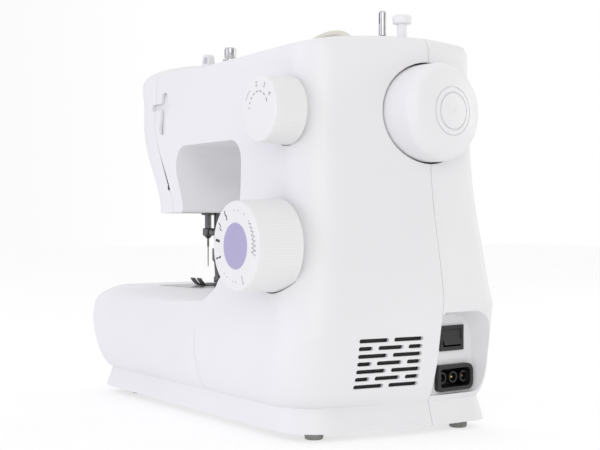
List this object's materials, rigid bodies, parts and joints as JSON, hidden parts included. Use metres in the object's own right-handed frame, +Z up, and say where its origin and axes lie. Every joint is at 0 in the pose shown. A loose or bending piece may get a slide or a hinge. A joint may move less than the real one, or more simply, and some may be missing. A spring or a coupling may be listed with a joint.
{
  "type": "sewing machine",
  "caption": "Household free-arm sewing machine with a handwheel, two front dials, a removable table, a hinged face cover and a drive to needle and hook.",
  "frame": {"origin": "under the middle of the machine's box, on the floor", "axes": "+X along the main shaft to the handwheel, +Y to the back, +Z up"},
  "size_m": [0.4038, 0.2084, 0.32],
  "materials": {
    "white_plastic": "satin moulded",
    "dial_plastic": "satin moulded, fluted",
    "mauve_plastic": "matte",
    "cream_plastic": "satin moulded",
    "grey_plastic": "matte",
    "black_plastic": "fine grained",
    "rubber": "matte",
    "belt_rubber": "matte",
    "steel": "ground",
    "chrome": "polished",
    "cast_aluminium": "as cast",
    "motor_paint": "satin paint",
    "brass": "turned"
  },
  "bodies": {
    "body": {"base_plate": "white_plastic", "rubber_feet": "rubber", "front_cover": "white_plastic", "rear_cover": "white_plastic", "free_arm": "white_plastic", "hook_door": "grey_plastic", "needle_plate": "steel", "arm_frame": "cast_aluminium", "shaft_bushes": "brass", "lower_bushes": "brass", "timing_belt": "belt_rubber", "drive_belt": "belt_rubber", "motor": "motor_paint", "motor_bracket": "cast_aluminium", "bobbin_case": "steel", "tension_stem": "steel", "winder_stop": "white_plastic", "tension_stud": "chrome", "thread_guide": "white_plastic", "handle_pins": "steel", "switch_frame": "black_plastic", "inlet_block": "black_plastic", "inlet_pins": "brass", "work_lamp": "grey_plastic", "cover_screws": "steel"},
    "main_drive": {"handwheel": "white_plastic", "main_shaft": "steel", "timing_pulley_top": "grey_plastic", "drive_pulley": "grey_plastic", "needle_crank": "steel"},
    "lower_drive": {"lower_shaft": "steel", "timing_pulley_low": "grey_plastic", "hook": "steel"},
    "motor_rotor": {"motor_pulley": "steel"},
    "needle_link": {"needle_link": "steel"},
    "needle_bar": {"needle_bar": "steel", "needle_clamp": "steel", "clamp_screw": "steel", "needle": "steel"},
    "presser": {"presser_bar": "steel", "presser_foot": "steel"},
    "presser_lifter": {"presser_lifter": "steel"},
    "take_up": {"take_up_lever": "steel"},
    "tension_dial": {"tension_dial": "dial_plastic"},
    "pattern_dial": {"pattern_dial": "dial_plastic", "pattern_disc": "mauve_plastic", "pattern_spindle": "grey_plastic"},
    "length_dial": {"length_dial": "dial_plastic", "length_spindle": "grey_plastic"},
    "carry_handle": {"carry_handle": "cream_plastic"},
    "face_cover": {"face_cover": "white_plastic"},
    "table": {"extension_table": "white_plastic"},
    "spool_pin": {"spool_pin": "white_plastic"},
    "winder": {"winder_carriage": "grey_plastic"},
    "winder_spindle": {"winder_spindle": "chrome"},
    "power_rocker": {"power_rocker": "black_plastic"},
    "feed_dog": {"feed_dog": "steel"},
    "bobbin": {"bobbin": "steel"}
  },
  "joints": [
    {"name": "handwheel_turn", "type": "hinge", "parent": "body", "child": "main_drive", "pos_m": [0.17536, 0.03817, 0.239], "axis": [1, 0, 0], "continuous": true},
    {"name": "lower_shaft_turn", "type": "hinge", "parent": "body", "child": "lower_drive", "pos_m": [-0.00164, 0.02617, 0.064], "axis": [1, 0, 0], "continuous": true},
    {"name": "motor_turn", "type": "hinge", "parent": "body", "child": "motor_rotor", "pos_m": [0.13636, -0.02783, 0.066], "axis": [1, 0, 0], "continuous": true},
    {"name": "link_pivot", "type": "hinge", "parent": "main_drive", "child": "needle_link", "pos_m": [-0.07164, 0.03817, 0.254], "axis": [1, 0, 0], "continuous": true},
    {"name": "needle_bar_slide", "type": "slide", "parent": "body", "child": "needle_bar", "axis": [0, 0, 1], "range_m": [-0.03, 0]},
    {"name": "presser_slide", "type": "slide", "parent": "body", "child": "presser", "axis": [0, 0, 1], "range_m": [0, 0.006]},
    {"name": "lifter_turn", "type": "hinge", "parent": "body", "child": "presser_lifter", "pos_m": [-0.09464, 0.05217, 0.198], "axis": [1, 0, 0], "range_deg": [0, 45]},
    {"name": "take_up_swing", "type": "hinge", "parent": "body", "child": "take_up", "pos_m": [-0.08564, 0.01417, 0.236], "axis": [1, 0, 0], "range_deg": [-20, 20]},
    {"name": "tension_turn", "type": "hinge", "parent": "body", "child": "tension_dial", "pos_m": [-0.07764, -0.01183, 0.246], "axis": [1, 0, 0], "range_deg": [0, 300]},
    {"name": "pattern_turn", "type": "hinge", "parent": "body", "child": "pattern_dial", "pos_m": [0.12298, -0.08705, 0.141], "axis": [-0.1045, -0.9945, 0], "continuous": true},
    {"name": "length_turn", "type": "hinge", "parent": "body", "child": "length_dial", "pos_m": [0.12298, -0.08705, 0.239], "axis": [-0.1045, -0.9945, 0], "range_deg": [0, 270]},
    {"name": "handle_swing", "type": "hinge", "parent": "body", "child": "carry_handle", "pos_m": [0.04636, 0.04817, 0.2975], "axis": [1, 0, 0], "range_deg": [0, 50]},
    {"name": "face_cover_hinge", "type": "hinge", "parent": "body", "child": "face_cover", "pos_m": [-0.13994, 0.03747, 0.244], "axis": [0, 0, -1], "range_deg": [0, 95]},
    {"name": "table_slide", "type": "slide", "parent": "body", "child": "table", "axis": [-1, 0, 0], "range_m": [0, 0.2]},
    {"name": "spool_pin_slide", "type": "slide", "parent": "body", "child": "spool_pin", "axis": [0, 0, 1], "range_m": [0, 0.045]},
    {"name": "winder_slide", "type": "slide", "parent": "body", "child": "winder", "axis": [1, 0, 0], "range_m": [0, 0.004]},
    {"name": "winder_spin", "type": "hinge", "parent": "winder", "child": "winder_spindle", "pos_m": [0.13333, 0.03052, 0.3], "axis": [0, 0, 1], "continuous": true},
    {"name": "power_rock", "type": "hinge", "parent": "body", "child": "power_rocker", "pos_m": [0.17286, 0.06217, 0.0702], "axis": [0, 1, 0], "range_deg": [0, 16]},
    {"name": "feed_slide", "type": "slide", "parent": "body", "child": "feed_dog", "axis": [0, 1, 0], "range_m": [-0.0015, 0.0015]},
    {"name": "bobbin_turn", "type": "hinge", "parent": "body", "child": "bobbin", "pos_m": [-0.10964, 0.02617, 0.064], "axis": [1, 0, 0], "continuous": true}
  ],
  "couplings": [
    {"joint": "lower_shaft_turn", "follows": "handwheel_turn", "ratio": 1},
    {"joint": "motor_turn", "follows": "handwheel_turn", "ratio": 3.75},
    {"joint": "link_pivot", "follows": "handwheel_turn", "ratio": -1},
    {"joint": "lifter_turn", "follows": "presser_slide", "rad_per_m": 130.89}
  ]
}
